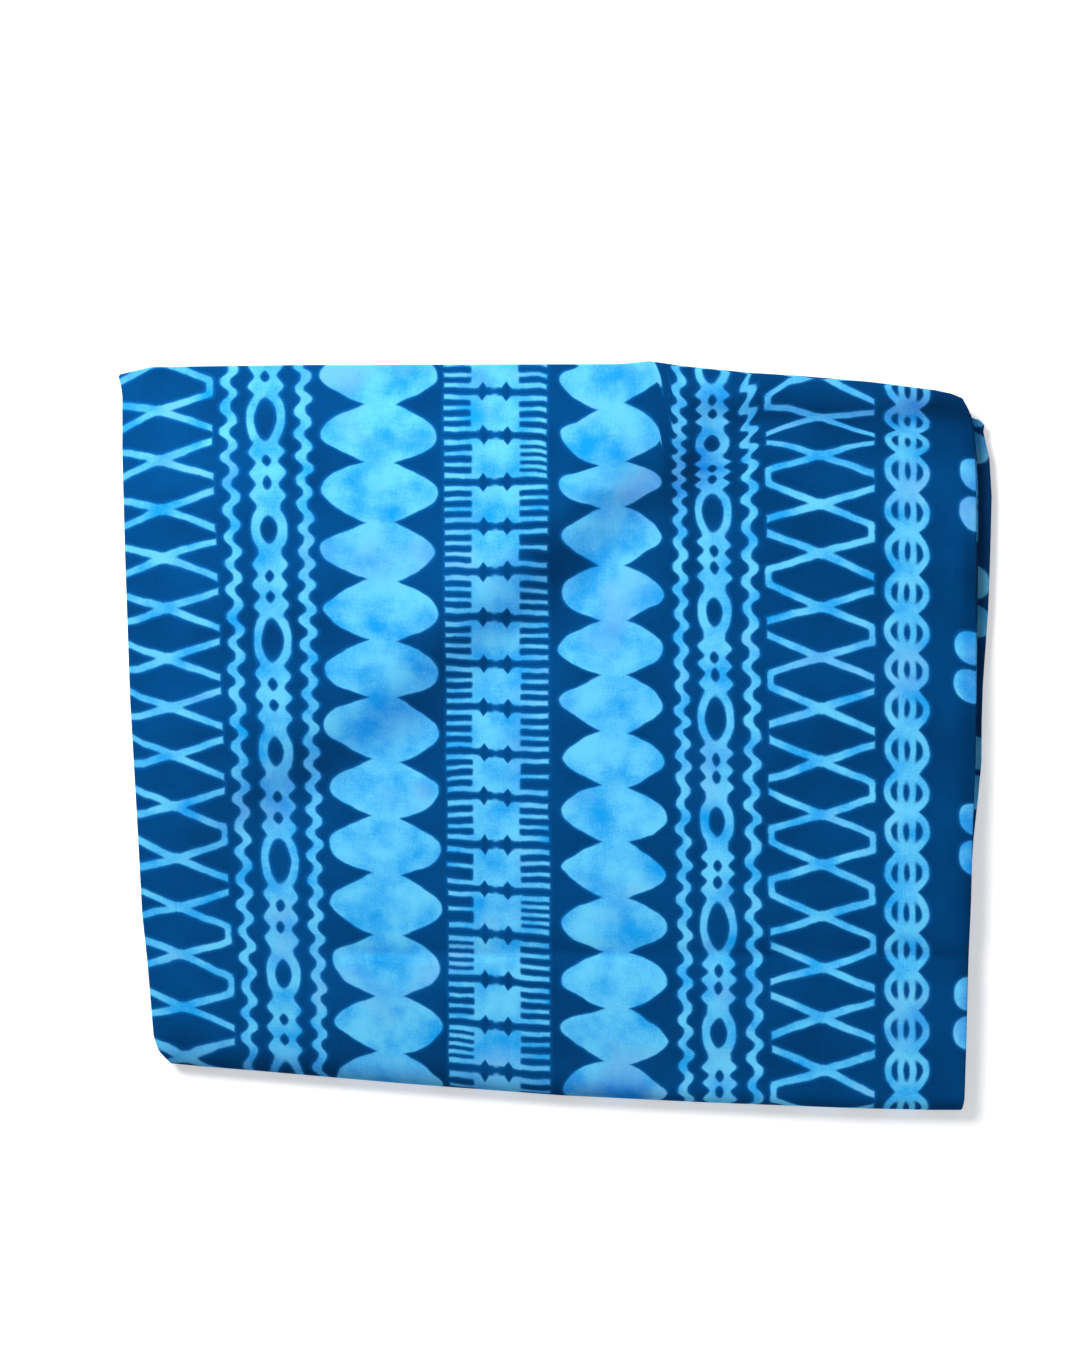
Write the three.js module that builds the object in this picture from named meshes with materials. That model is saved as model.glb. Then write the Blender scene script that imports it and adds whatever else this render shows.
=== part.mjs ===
// Folded length of wax print cloth, lying flat. Millimetres, +Z up.
// +X is the right-hand side, +Y the back, and the rounded wrap is at the front.
// Every leaf is the cloth lying double, its two side edges folded under.
import * as THREE from "three";

const LEAVES = 11; // leaf 0 is on top, leaf 10 on the table
const LEAF_THICK = 1.1; // the doubled cloth
const LEAF_GAP = 0.5; // air between leaves
const PITCH = LEAF_THICK + LEAF_GAP;
const HEIGHT = LEAVES * PITCH - LEAF_GAP;
const HALF = LEAF_THICK / 2;

const TURN_STEPS = 4; // facets round a narrow back or front turn
const WRAP_STEPS = 10; // facets round the wide front wrap
const EDGE_STRIP = 7; // width of the last facet along an edge
const WRAP_CLEAR = 0.4; // from the wrap to the turns inside it

// Lines shared by every leaf, so the leaves stay parallel
const X_LINES = [-245, -190, -135, -80, -25, 30, 85, 140, 195, 245];
const Y_LINES = [-190, -158, -146, -134, -90, -30, 30, 85, 135, 170, 200];

// Outline of the top leaf
const BACK_EDGE = [
  { x: -300, y: 249.5 },
  { x: -278, y: 254.9 },
  { x: -175, y: 256.3 },
  { x: -51, y: 256.6 },
  { x: 45, y: 256.9 },
  { x: 65, y: 259.0 },
  { x: 93, y: 254.9 },
  { x: 134, y: 250.8 },
  { x: 168, y: 248.7 },
  { x: 216, y: 244.6 },
  { x: 261, y: 239.1 },
  { x: 275, y: 236.0 },
  { x: 287, y: 230.0 },
];
const FRONT_EDGE = [
  { x: -292, y: -216.5 },
  { x: -284, y: -223.0 },
  { x: -245, y: -227.3 },
  { x: -209, y: -230.1 },
  { x: -106, y: -239.1 },
  { x: 3, y: -247.3 },
  { x: 100, y: -252.1 },
  { x: 209, y: -256.3 },
  { x: 262, y: -257.5 },
  { x: 284, y: -257.2 },
];
const LEFT_EDGE = [
  { y: -224, x: -266.5 },
  { y: -216, x: -272.8 },
  { y: -205, x: -276.0 },
  { y: -153, x: -280.3 },
  { y: -122, x: -283.7 },
  { y: -57, x: -287.2 },
  { y: 25, x: -292.0 },
  { y: 122, x: -295.4 },
  { y: 197, x: -297.5 },
  { y: 237, x: -297.5 },
  { y: 249, x: -300.2 },
];
const RIGHT_EDGE = [
  { y: -257, x: 281.0 },
  { y: -249, x: 281.9 },
  { y: -215, x: 283.0 },
  { y: -165, x: 284.2 },
  { y: -112, x: 286.3 },
  { y: -60, x: 287.6 },
  { y: -25, x: 289.2 },
  { y: 25, x: 289.8 },
  { y: 175, x: 289.9 },
  { y: 205, x: 288.6 },
  { y: 222, x: 286.5 },
  { y: 238, x: 278.0 },
];

// How far the skewed lower leaves stick out past the top one on the right
const OVERHANG = [
  { y: -250, out: -1.0 },
  { y: -112, out: 0 },
  { y: -60, out: 2.2 },
  { y: -25, out: 5.4 },
  { y: 25, out: 5.0 },
  { y: 94, out: 9.8 },
  { y: 163, out: 11.8 },
  { y: 192, out: 11.0 },
  { y: 209, out: 7.6 },
  { y: 216, out: 9.5 },
  { y: 223, out: 1.5 },
];

// A row per leaf, top to bottom. inset: left edge drawn in.
// skew: share of the overhang on the right
const LEAF_SIDES = [
  { inset: 0, skew: 0 },
  { inset: 1.6, skew: 0.03 },
  { inset: 3.1, skew: 0.08 },
  { inset: 1.2, skew: 0.14 },
  { inset: 4.2, skew: 0.1 },
  { inset: 2.3, skew: 0.2 },
  { inset: 5.0, skew: 1.0 },
  { inset: 3.2, skew: 0.8 },
  { inset: 1.9, skew: 0.92 },
  { inset: 4.4, skew: 0.6 },
  { inset: 2.8, skew: 0.74 },
];

// Turns at the back, and the cut end under them: how far inside the top one
const BACK_TURNS = [
  { upper: 0, left: 0, right: 0 },
  { upper: 2, left: 2.6, right: 7.5 },
  { upper: 4, left: 5.2, right: 13.0 },
  { upper: 6, left: 1.8, right: 10.5 },
  { upper: 8, left: 6.4, right: 14.5 },
  { upper: 10, left: 9.0, right: 12.0 },
];

// Turns at the front, hidden inside the wrap, and the other cut end
const FRONT_TURNS = [
  { upper: 1, slack: 1.5 },
  { upper: 3, slack: 4.0 },
  { upper: 5, slack: 2.2 },
  { upper: 7, slack: 5.5 },
  { upper: 9, slack: 8.0 },
];

// Soft troughs and swellings of the top: middle line, half-width and height
const RELIEF = [
  { x1: -150, y1: -146, x2: 285, y2: -146, wide: 13, high: -1.3 },
  { x1: -160, y1: -105, x2: 250, y2: -100, wide: 42, high: 0.8 },
  { x1: -225, y1: 2, x2: -125, y2: 50, wide: 30, high: 1.8 },
  { x1: -80, y1: 82, x2: 38, y2: 198, wide: 30, high: 2.3 },
  { x1: -200, y1: -50, x2: -80, y2: 18, wide: 28, high: -1.7 },
  { x1: -45, y1: 40, x2: 85, y2: 175, wide: 26, high: -2.0 },
  { x1: 110, y1: 240, x2: 230, y2: 232, wide: 20, high: 2.4 },
  { x1: 100, y1: 199, x2: 250, y2: 195, wide: 26, high: -1.3 },
  { x1: -230, y1: -60, x2: -230, y2: 190, wide: 48, high: 1.0 },
  { x1: 60, y1: -40, x2: 190, y2: 90, wide: 60, high: 1.2 },
  { x1: -120, y1: -215, x2: 120, y2: -235, wide: 30, high: -0.9 },
];
const EDGE_DROOP = 1.7; // the top eases down towards its edges
const DROOP_WIDE = 42;

const clamp = (v, lo, hi) => Math.min(hi, Math.max(lo, v));
const mix = (a, b, t) => a + (b - a) * t;

function along(rows, from, to, at) {
  let k = 0;
  while (k < rows.length - 2 && rows[k + 1][from] < at) k += 1;
  const a = rows[k];
  const b = rows[k + 1];
  return mix(a[to], b[to], clamp((at - a[from]) / (b[from] - a[from]), 0, 1));
}

const backY = (x) => along(BACK_EDGE, "x", "y", x);
const frontY = (x) => along(FRONT_EDGE, "x", "y", x);
const midZ = (leaf) => (LEAVES - 1 - leaf) * PITCH + HALF;
const wrapDeep = (x) => mix(14, 9, clamp((x + 270) / 540, 0, 1));

function sides(leaf, y) {
  const row = LEAF_SIDES[leaf];
  return {
    left: along(LEFT_EDGE, "y", "x", y) + row.inset,
    right: along(RIGHT_EDGE, "y", "x", y) + row.skew * along(OVERHANG, "y", "out", y),
  };
}

function backTurn(upper, x) {
  const row = BACK_TURNS.find((r) => r.upper === upper);
  const skew = mix(row.left, row.right, clamp((x + 290) / 580, 0, 1));
  return backY(x) - skew - PITCH / 2 - HALF;
}

// Room inside the wrap for a pair of leaves: their corners and their turn stay clear of it
function frontTurn(upper, x) {
  const row = FRONT_TURNS.find((r) => r.upper === upper);
  const deep = wrapDeep(x) - HALF - WRAP_CLEAR;
  const high = HEIGHT / 2 - LEAF_THICK - WRAP_CLEAR / 2;
  const room = (z) => deep * Math.sqrt(1 - (z / high) ** 2);
  const top = midZ(upper) + HALF - HEIGHT / 2;
  const low = midZ(Math.min(upper + 1, LEAVES - 2)) - HALF - HEIGHT / 2;
  const reach = Math.min(room(top), room(low), room((top + low) / 2) - PITCH / 2 - HALF);
  return frontY(x) + HALF + wrapDeep(x) - reach + row.slack;
}

// One leaf's y positions at x, from front to back
function leafLine(leaf, x) {
  const front = leaf === 0 || leaf === LEAVES - 1
    ? frontY(x) + HALF + wrapDeep(x)
    : frontTurn(leaf % 2 ? leaf : leaf - 1, x);
  const back = backTurn(leaf % 2 ? leaf - 1 : leaf, x);
  return [front, front + EDGE_STRIP, ...Y_LINES, back - EDGE_STRIP, back];
}

// The section at x, from the cut end on the table to the one inside:
// points of the middle line with the direction across the cloth
function section(x) {
  const path = [];
  const leafRun = (leaf, forward) => {
    const ys = leafLine(leaf, x);
    for (const y of forward ? ys : ys.reverse()) {
      path.push({ y, z: midZ(leaf), ny: 0, nz: forward ? 1 : -1, from: leaf, to: leaf, t: 0 });
    }
  };
  const turn = (from, to, deep, dir) => {
    const z0 = midZ(from);
    const z1 = midZ(to);
    const high = Math.abs(z1 - z0) / 2;
    const steps = deep > 3 ? WRAP_STEPS : TURN_STEPS;
    const y0 = path[path.length - 1].y;
    const up = Math.sign(z1 - z0);
    for (let k = 1; k < steps; k += 1) {
      const a = (Math.PI * k) / steps;
      const ty = dir * deep * Math.cos(a);
      const tz = up * high * Math.sin(a);
      const n = Math.hypot(ty, tz);
      path.push({
        y: y0 + dir * deep * Math.sin(a),
        z: (z0 + z1) / 2 - up * high * Math.cos(a),
        ny: -tz / n,
        nz: ty / n,
        from,
        to,
        t: k / steps,
      });
    }
  };
  leafRun(LEAVES - 1, false);
  turn(LEAVES - 1, 0, wrapDeep(x), -1);
  leafRun(0, true);
  for (let leaf = 1; leaf < LEAVES - 1; leaf += 1) {
    const forward = leaf % 2 === 0;
    turn(leaf - 1, leaf, PITCH / 2, forward ? -1 : 1);
    leafRun(leaf, forward);
  }
  return path;
}

function ridge(row, x, y) {
  const dx = row.x2 - row.x1;
  const dy = row.y2 - row.y1;
  const t = clamp(((x - row.x1) * dx + (y - row.y1) * dy) / (dx * dx + dy * dy), 0, 1);
  const d = Math.hypot(x - row.x1 - t * dx, y - row.y1 - t * dy) / row.wide;
  return row.high * Math.exp(-d * d);
}

function relief(x, y) {
  const in4 = [x + 292, 290 - x, y - frontY(x), backY(x) - y];
  const droop = in4.reduce((s, d) => s + Math.exp(-((Math.max(d, 0) / DROOP_WIDE) ** 2)), 0);
  return RELIEF.reduce((s, row) => s + ridge(row, x, y), 0) - EDGE_DROOP * Math.min(droop, 1.3);
}

function place(x, y, z) {
  return new THREE.Vector3(x, y, z * (1 + relief(x, y) / HEIGHT));
}

function foldedCloth() {
  const nominal = [-292, -284, ...X_LINES, 277, 284];
  const last = nominal.length - 1;
  const columns = nominal.map((nx, i) => {
    const points = section(nx);
    return points.map((p) => {
      const a = sides(p.from, p.y);
      const b = sides(p.to, p.y);
      const left = mix(a.left, b.left, p.t);
      const right = mix(a.right, b.right, p.t);
      let x = nx;
      if (i === 0) x = left;
      if (i === 1) x = left + EDGE_STRIP;
      if (i === last - 1) x = right - EDGE_STRIP;
      if (i === last) x = right;
      return {
        outer: place(x, p.y + p.ny * HALF, p.z + p.nz * HALF),
        inner: place(x, p.y - p.ny * HALF, p.z - p.nz * HALF),
      };
    });
  });
  const rows = columns[0].length;
  const verts = [];
  const outer = columns.map((c) => c.map((p) => verts.push(p.outer) - 1));
  const inner = columns.map((c) => c.map((p) => verts.push(p.inner) - 1));
  const faces = [];
  // The diagonal keeps one direction over the table, so the leaves stay parallel
  const quad = (a, b, c, d, flip) => {
    if (flip) faces.push([b, c, d], [b, d, a]);
    else faces.push([a, b, c], [a, c, d]);
  };
  for (let i = 0; i < last; i += 1) {
    for (let j = 0; j < rows - 1; j += 1) {
      const flip = columns[i][j + 1].outer.y < columns[i][j].outer.y;
      quad(outer[i][j], outer[i + 1][j], outer[i + 1][j + 1], outer[i][j + 1], flip);
      quad(inner[i][j + 1], inner[i + 1][j + 1], inner[i + 1][j], inner[i][j], !flip);
    }
    quad(inner[i][0], inner[i + 1][0], outer[i + 1][0], outer[i][0], false);
    const e = rows - 1;
    quad(outer[i][e], outer[i + 1][e], inner[i + 1][e], inner[i][e], false);
  }
  for (let j = 0; j < rows - 1; j += 1) {
    quad(inner[0][j], outer[0][j], outer[0][j + 1], inner[0][j + 1], false);
    quad(outer[last][j], inner[last][j], inner[last][j + 1], outer[last][j + 1], false);
  }
  const box = new THREE.Box3().setFromPoints(verts);
  const centre = box.getCenter(new THREE.Vector3());
  const positions = new Float32Array(verts.length * 3);
  verts.forEach((v, k) => {
    positions.set([v.x - centre.x, v.y - centre.y, v.z - box.min.z], k * 3);
  });
  const geometry = new THREE.BufferGeometry();
  geometry.setAttribute("position", new THREE.BufferAttribute(positions, 3));
  geometry.setIndex(faces.flat());
  geometry.computeVertexNormals();
  return geometry;
}

const part = new THREE.Group();
part.name = "folded_cloth";
const cotton = new THREE.MeshStandardMaterial({ color: 0x0b4a7d, roughness: 0.85 });
cotton.name = "printed_cotton";
const cloth = new THREE.Mesh(foldedCloth(), cotton);
cloth.name = "cloth";
part.add(cloth);
export default part;
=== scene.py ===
# Folded length of wax print cloth, seen from straight above on a pale table.
# Tables are in millimetres, as in the CAD part. +X is right, +Y the back, +Z up. On the flat
# cloth, u runs across from its middle and v along it from the cut end that lies on the table.
import math
from types import SimpleNamespace as Sizes

import bpy
import numpy as np
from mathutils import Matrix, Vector


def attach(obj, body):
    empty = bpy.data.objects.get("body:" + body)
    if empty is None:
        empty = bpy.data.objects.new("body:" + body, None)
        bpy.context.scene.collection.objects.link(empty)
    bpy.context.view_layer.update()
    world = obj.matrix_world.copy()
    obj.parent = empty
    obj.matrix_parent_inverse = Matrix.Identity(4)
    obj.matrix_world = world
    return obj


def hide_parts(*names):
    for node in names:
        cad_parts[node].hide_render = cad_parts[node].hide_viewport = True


MM = 0.001
SEED = 7

# The stack of leaves
LEAVES = 11
LEAF_THICK = 1.1
LEAF_GAP = 0.5
PITCH = LEAF_THICK + LEAF_GAP
HEIGHT = LEAVES * PITCH - LEAF_GAP
HALF = LEAF_THICK / 2
WRAP_CLEAR = 0.4
PLAN_CENTRE = (0.6518, -0.2212)  # middle of the box in plan, before the part is centred
WRAP_LEFT, WRAP_RIGHT = 14, 9  # how far the front wrap reaches forward, at its two ends
WRAP_SPAN = 540
HALF_WIDE, HALF_DEEP = 290, 257  # about half the top leaf

# The cloth itself
CLOTH_WIDE = 1143.0
CLOTH_THICK = 0.3
LANE_APART = 0.68  # between the middles of the two thicknesses in a leaf
EDGE_APART = 1.12  # the same where the side folds spring open
EDGE_OPEN = 11.0  # how far in from the side folds they do
FOLD_DEEP = 1.5  # reach of the round of a side fold
# Painted shade on the side folds that stick out starts at this u
PAINTED_SHADE_FROM_U = 333.0  # past this u the cloth shows only on the side folds that stick out

# Outline of the top leaf
BACK_EDGE = [(-300, 249.5), (-278, 254.9), (-175, 256.3), (-51, 256.6), (45, 256.9), (65, 259.0),
             (93, 254.9), (134, 250.8), (168, 248.7), (216, 244.6), (261, 239.1), (275, 236.0),
             (287, 230.0)]
FRONT_EDGE = [(-292, -216.5), (-284, -223.0), (-245, -227.3), (-209, -230.1), (-106, -239.1),
              (3, -247.3), (100, -252.1), (209, -256.3), (262, -257.5), (284, -257.2)]
LEFT_EDGE = [(-224, -266.5), (-216, -272.8), (-205, -276.0), (-153, -280.3), (-122, -283.7),
             (-57, -287.2), (25, -292.0), (122, -295.4), (197, -297.5), (237, -297.5),
             (249, -300.2)]
RIGHT_EDGE = [(-257, 281.0), (-249, 281.9), (-215, 283.0), (-165, 284.2), (-112, 286.3),
              (-60, 287.6), (-25, 289.2), (25, 289.8), (175, 289.9), (205, 288.6), (222, 286.5),
              (238, 278.0)]
OVERHANG = [(-250, -1.0), (-112, 0), (-60, 2.2), (-25, 5.4), (25, 5.0), (94, 9.8), (163, 11.8),
            (192, 11.0), (209, 7.6), (216, 9.5), (223, 1.5)]

# Per leaf, top to bottom: left edge drawn in, share of the overhang on the right
LEAF_SIDES = [(0, 0), (1.6, 0.03), (3.1, 0.08), (1.2, 0.14), (4.2, 0.1), (2.3, 0.2), (5.0, 1.0),
              (3.2, 0.8), (1.9, 0.92), (4.4, 0.6), (2.8, 0.74)]
# Upper leaf of each back turn: how far inside the top one, left and right
BACK_TURNS = {0: (0, 0), 2: (2.6, 7.5), 4: (5.2, 13.0), 6: (1.8, 10.5), 8: (6.4, 14.5),
              10: (9.0, 12.0)}
# Upper leaf of each front turn: slack inside the wrap
FRONT_TURNS = {1: 1.5, 3: 4.0, 5: 2.2, 7: 5.5, 9: 8.0}

# Soft troughs and swellings through the whole stack: x1, y1, x2, y2, half-width, height
RELIEF = [
    (-150, -146, 285, -146, 13, -1.3),
    (-160, -105, 250, -100, 42, 0.8),
    (-225, 2, -125, 50, 30, 1.8),
    (-80, 82, 38, 198, 30, 2.3),
    (-200, -50, -80, 18, 28, -1.7),
    (-45, 40, 85, 175, 26, -2.0),
    (110, 240, 230, 232, 20, 2.4),
    (100, 199, 250, 195, 26, -1.3),
    (-230, -60, -230, 190, 48, 1.0),
    (60, -40, 190, 90, 60, 1.2),
    (-120, -215, 120, -235, 30, -0.9),
]
# The stack sinks towards its four sides
EDGE_DROOP = 1.7
DROOP_WIDE = 42
DROOP_MOST = 1.3  # by its usual depth, where two sides meet
DROOP_LEFT = 292  # it starts this far out at the left, and HALF_WIDE out at the right

# Creases of the top leaf alone: x1, y1, x2, y2, half-width, height
CREASES = [
    (-140, -137.5, 285, -138.5, 5.5, 0.75),  # pressed line across the front
    (-120, -152, 250, -153.5, 6.0, 0.35),
    (-165, -146, 285, -147, 2.2, -0.4),
    (40, -213, 262, -215.5, 4.5, 0.4),
    (40, -219, 262, -221, 2.0, -0.35),
    (-4, 200, 4, 62, 5.0, -0.35),  # soft upright dents near the middle
    (9, 205, 14, 90, 8.0, 0.45),
    (24, 171, 68, 168, 6.5, 0.8),
    (26, 160, 64, 158, 4.0, -0.4),
    (66, 250, 74, 165, 6.0, 0.8),  # the pinch at the right of the back edge
    (84, 256, 88, 176, 3.5, -0.4),
    (98, 250, 104, 185, 6.0, 0.7),
    (100, 231, 262, 228, 7.0, 1.2),
    (92, 221.5, 270, 217, 3.2, -0.45),
    (104, 211, 250, 206, 7.5, 1.3),
    (150, 196, 268, 192, 6.0, 0.5),
    (-290.5, 215, -289, 140, 1.6, -0.3),  # beside the side folds
    (272, 120, 270, -115, 4.5, 0.5),
    (262, 90, 261, -90, 3.0, -0.25),
    (-262, -196, -200, -214, 7.0, 0.5),
    (-232, 236, -150, 246, 8.0, 0.4),
]

CREASES_OFF = ((2.2, 70), (1.6, 60))  # drawn off their lines in x and in y: by how much, hill size
CREASE_DEEP = -0.3  # the lowest that the top leaf is pressed in
CREASE_EDGE = 3.0  # they fade this close to the side folds
UNEVEN = ((0.16, 85), (0.05, 26))  # the top leaf's own unevenness: height, hill size
HILLS = 9  # waves that make an unevenness together
HILL_SPREAD = (0.7, 1.6)  # shortest and longest hills, by their usual size

# Painted shade on the top leaf, where soft dents, the pinch, the right fold, the front wrap and the
# pressed line lie in shade, and painted light below zero, beside the right fold, beside the pressed
# line and towards the back left: line, half-width, depth
PAINTED_SHADING_LINES = [
    ([(-235, -62), (-165, -19), (-100, 22), (-72, 56), (0, 115), (40, 158), (100, 184)], 21, 0.27),
    ([(88, 150), (96, 225)], 12, 0.16),
    ([(100, 229), (215, 225), (284, 222)], 14, 0.26),
    ([(245, 230), (286, 220)], 9, 0.3),
    ([(284, -235), (287, 205)], 5, 0.3),
    ([(272, -60), (274, 150)], 5, -0.08),
    ([(-255, 190), (-60, 214)], 85, -0.14),
    ([(-264, -216), (-110, -232), (60, -245)], 11, 0.3),
    ([(-150, -146.5), (40, -146), (285, -148.5)], 2.6, 0.2),  # along the pressed line
    ([(-130, -151), (285, -153.5)], 3.5, -0.06),
]
PAINTED_SHADING_UNEVEN = (0.3, 60)  # share, hill size
# How light the figures are: usual share, then painted light, more at the right side and more at the
# front
PALE, PAINTED_LIGHT_RIGHT, PAINTED_LIGHT_FRONT = 1.07, 0.14, 0.05

# Where the bands of the pattern lie on the top leaf: u across the cloth, x at the back, x at the front
BAND_LINES = [(-226, -272.7, -253.5), (-153, -199.2, -184.8), (-80, -120.2, -112.0),
              (0, -41.2, -40.5), (80, 39.2, 43.3), (153, 107.9, 113.4), (226, 182.1, 184.8),
              (285, 242.5, 241.8)]
BAND_BACK, BAND_FRONT = 218.0, -236.0
# The pinch takes up cloth: x, length taken up; x, middle of the place; x, its half-width
TAKEN_UP = [(-10, 0), (15, 8), (45, 15), (73.5, 17), (78, 42), (94, 46), (125, 44), (142, 25),
            (160, 17), (182, 17), (242, 27), (290, 27)]
TAKEN_AT = [(45, 177), (73.5, 179), (78, 189), (96, 192), (125, 198), (150, 210), (182, 212),
            (242, 209), (290, 207)]
TAKEN_WIDE = [(45, 13), (73.5, 15), (78, 27), (110, 30), (142, 19), (160, 14), (182, 13)]
# At x, the share of it that is given back over a longer stretch, and half the width of that
GIVEN_BACK = [(15, 0), (45, 1), (73.5, 1), (78, 0)]
BACK_WIDE = 52
# The print doesn't run true from leaf to leaf: slip along the cloth at the turn before a leaf
PRINT_SLIP = {6: -54.0}


def along(table, at):
    xs, ys = zip(*table)
    return np.interp(at, xs, ys)


def back_y(x):
    return along(BACK_EDGE, x)


def front_y(x):
    return along(FRONT_EDGE, x)


def mid_z(leaf):
    return (LEAVES - 1 - leaf) * PITCH + HALF


def wrap_deep(x):
    share = np.clip((x + WRAP_SPAN / 2) / WRAP_SPAN, 0, 1)
    return WRAP_LEFT - (WRAP_LEFT - WRAP_RIGHT) * share


def sides(leaf, y):
    inset, share = LEAF_SIDES[leaf]
    return along(LEFT_EDGE, y) + inset, along(RIGHT_EDGE, y) + share * along(OVERHANG, y)


def back_turn(upper, x):
    left, right = BACK_TURNS[upper]
    share = np.clip((x + HALF_WIDE) / (2 * HALF_WIDE), 0, 1)
    return back_y(x) - left - (right - left) * share - PITCH / 2 - HALF


def front_turn(upper, x):
    """As far forward as the wrap has room for a turn at its height, less the slack."""
    deep = wrap_deep(x) - HALF - WRAP_CLEAR
    tall = HEIGHT / 2 - LEAF_THICK - WRAP_CLEAR / 2
    top = mid_z(upper) + HALF - HEIGHT / 2
    base = mid_z(min(upper + 1, LEAVES - 2)) - HALF - HEIGHT / 2

    def room(z):
        return deep * math.sqrt(1 - (z / tall) ** 2)

    reach = np.minimum(np.minimum(room(top), room(base)), room((top + base) / 2) - PITCH / 2 - HALF)
    return front_y(x) + HALF + wrap_deep(x) - reach + FRONT_TURNS[upper]


def leaf_ends(leaf, x):
    """Where a leaf's flat stretch ends at the front and at the back."""
    if leaf in (0, LEAVES - 1):
        front = front_y(x) + HALF + wrap_deep(x)
    else:
        front = front_turn(leaf if leaf % 2 else leaf - 1, x)
    return front, back_turn(leaf - 1 if leaf % 2 else leaf, x)


def to_stroke(x, y, x1, y1, x2, y2):
    """Distance in plan to a straight stroke."""
    dx, dy = x2 - x1, y2 - y1
    t = np.clip(((x - x1) * dx + (y - y1) * dy) / (dx * dx + dy * dy), 0, 1)
    return np.hypot(x - x1 - t * dx, y - y1 - t * dy)


def ridges(table, x, y):
    total = np.zeros_like(x)
    for x1, y1, x2, y2, wide, height in table:
        total += height * np.exp(-((to_stroke(x, y, x1, y1, x2, y2) / wide) ** 2))
    return total


def relief(x, y):
    near = [x + DROOP_LEFT, HALF_WIDE - x, y - front_y(x), back_y(x) - y]
    droop = sum(np.exp(-((np.maximum(d, 0) / DROOP_WIDE) ** 2)) for d in near)
    return ridges(RELIEF, x, y) - EDGE_DROOP * np.minimum(droop, DROOP_MOST)


def hills(x, y, size, seed):
    """Smooth unevenness between about -1 and 1, with hills about size apart."""
    rng = np.random.default_rng(seed)
    total = np.zeros_like(x)
    for _ in range(HILLS):
        turn, phase = rng.uniform(0, 2 * math.pi, 2)
        k = 2 * math.pi / (size * rng.uniform(*HILL_SPREAD))
        total += np.sin(k * (x * math.cos(turn) + y * math.sin(turn)) + phase)
    return total / math.sqrt(HILLS)


def top_creases(x, y):
    """Creases, drawn a little crooked, and the fine unevenness of the top leaf."""
    (off_x, size_x), (off_y, size_y) = CREASES_OFF
    bent_x = x + off_x * hills(x, y, size_x, SEED)
    bent_y = y + off_y * hills(x, y, size_y, SEED + 1)
    fine = ridges(CREASES, bent_x, bent_y)
    fine += sum(height * hills(x, y, size, SEED + 2 + n) for n, (height, size) in enumerate(UNEVEN))
    return np.maximum(fine, CREASE_DEEP)


def painted_shading(x, y):
    """How much painted shade lies on a place, as a share; below zero it is painted light."""
    total = np.zeros_like(x)
    for line, wide, depth in PAINTED_SHADING_LINES:
        near = np.min([to_stroke(x, y, *a, *b) for a, b in zip(line, line[1:])], axis=0)
        total += depth * np.exp(-((near / wide) ** 2))
    share, size = PAINTED_SHADING_UNEVEN
    return total * (1 + share * hills(x, y, size, SEED + 4))


def figure_tone_and_painted_light(x, y):
    """How light the figures are, as a share, with painted light that makes them a little paler to the
    right and the front.
    """
    return PALE + PAINTED_LIGHT_RIGHT * x / HALF_WIDE - PAINTED_LIGHT_FRONT * y / HALF_DEEP


def across(x, y):
    """u of the cloth at a place on the upper side of a leaf."""
    share = np.clip((y - BAND_FRONT) / (BAND_BACK - BAND_FRONT), 0, 1)
    us = [u for u, _, _ in BAND_LINES]
    xs = [front + (back - front) * share for _, back, front in BAND_LINES]
    u = us[0] + (x - xs[0])
    for k in range(len(us) - 1):
        slope = (us[k + 1] - us[k]) / (xs[k + 1] - xs[k])
        u = np.where(x > xs[k], us[k] + (x - xs[k]) * slope, u)
    return np.where(x > xs[-1], us[-1] + (x - xs[-1]), u)


# The stretches of the sheet from one selvedge to the other. The lane is one thickness of a leaf,
# on top where the cloth runs to the back and below where it runs to the front. The two flaps are
# the other thickness.
FLAP_LEFT, FOLD_LEFT, LANE, FOLD_RIGHT, FLAP_RIGHT = range(5)
FOLD_STEPS = 8
SAME_KEY = 1e-6  # columns of two rows that are this close are one line of the sheet
TINY = 1e-12  # the shortest vector that has a direction


def columns(lane_count, flap_count):
    """The stretch of every column, and its place q along that stretch from 0 to 1."""
    part, q = [], []
    for stretch, count in enumerate((flap_count, FOLD_STEPS, lane_count, FOLD_STEPS, flap_count)):
        # only the lane has a column at both its ends
        for k in range(int(stretch > LANE), count + int(stretch >= LANE)):
            part.append(stretch)
            q.append(k / count)
    return np.array(part), np.array(q)


FINE = columns(114, 30)
MEDIUM = columns(57, 16)
PLAIN = columns(28, 6)

# How many rows a leaf has, and the shares of its depth where extra ones lie near both its ends
TOP_ROWS, TOP_ENDS = 98, (0.003,)
SECOND_ROWS, OTHER_ROWS, OTHER_ENDS = 38, 18, (0.006, 0.016, 0.04)
WRAP_STEPS, TURN_STEPS = 18, 6
# The place in x of a column is found in a few rounds, from a first guess
FIRST_LEFT, FIRST_WIDE, ROUNDS = -290, 575, 4

# Share of the colour map for each stretch of a row, and weight along the cloth for each leaf:
# the top leaf is seen whole, leaf 6 shows most at the right, and the rest hardly show
MAP_SPANS = (0.055, 0.012, 0.866, 0.012, 0.055)
MAP_WEIGHTS = {0: 1.0, 6: 0.16, 10: 0.05}
MAP_HIDDEN = 0.04
MAP_EDGE = 0.004
# Where the outer face, the inner face and the four rims of the sheet lie on the map
MAP_OUTER, MAP_INNER, MAP_RIMS = (MAP_EDGE, 0.93), (0.945, 0.972), 0.98
MAP_RIM_STEP, MAP_RIM_HIGH = 0.005, 0.003


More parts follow.
